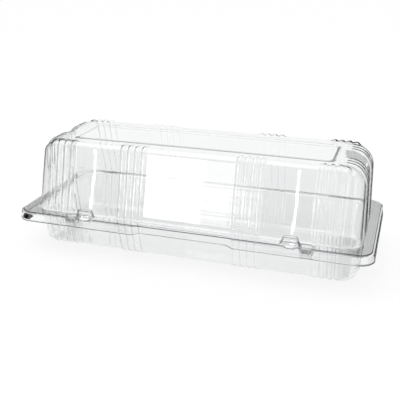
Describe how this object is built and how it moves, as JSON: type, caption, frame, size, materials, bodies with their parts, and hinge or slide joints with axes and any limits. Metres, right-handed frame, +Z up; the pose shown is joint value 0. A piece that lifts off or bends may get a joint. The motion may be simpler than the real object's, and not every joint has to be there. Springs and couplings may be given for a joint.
{
  "type": "plastic clamshell pack",
  "caption": "Clear plastic clamshell pack for a loaf or bar cake: shallow fluted tray, tall fluted lid, back fold and front snap locks.",
  "frame": {"origin": "on the resting plane, under the middle of the whole closed pack", "axes": "+X along the pack, -Y to the front with the locks, +Z up"},
  "size_m": [0.304, 0.1259, 0.0933],
  "materials": {
    "clear_sheet": "clear, glossy formed sheet"
  },
  "bodies": {
    "tray": {"tray": "clear_sheet"},
    "lid": {"lid": "clear_sheet"}
  },
  "joints": [
    {"name": "lid_fold", "type": "hinge", "parent": "tray", "child": "lid", "pos_m": [0, 0.06205, 0.03315], "axis": [-1, 0, 0], "range_deg": [0, 135]}
  ]
}
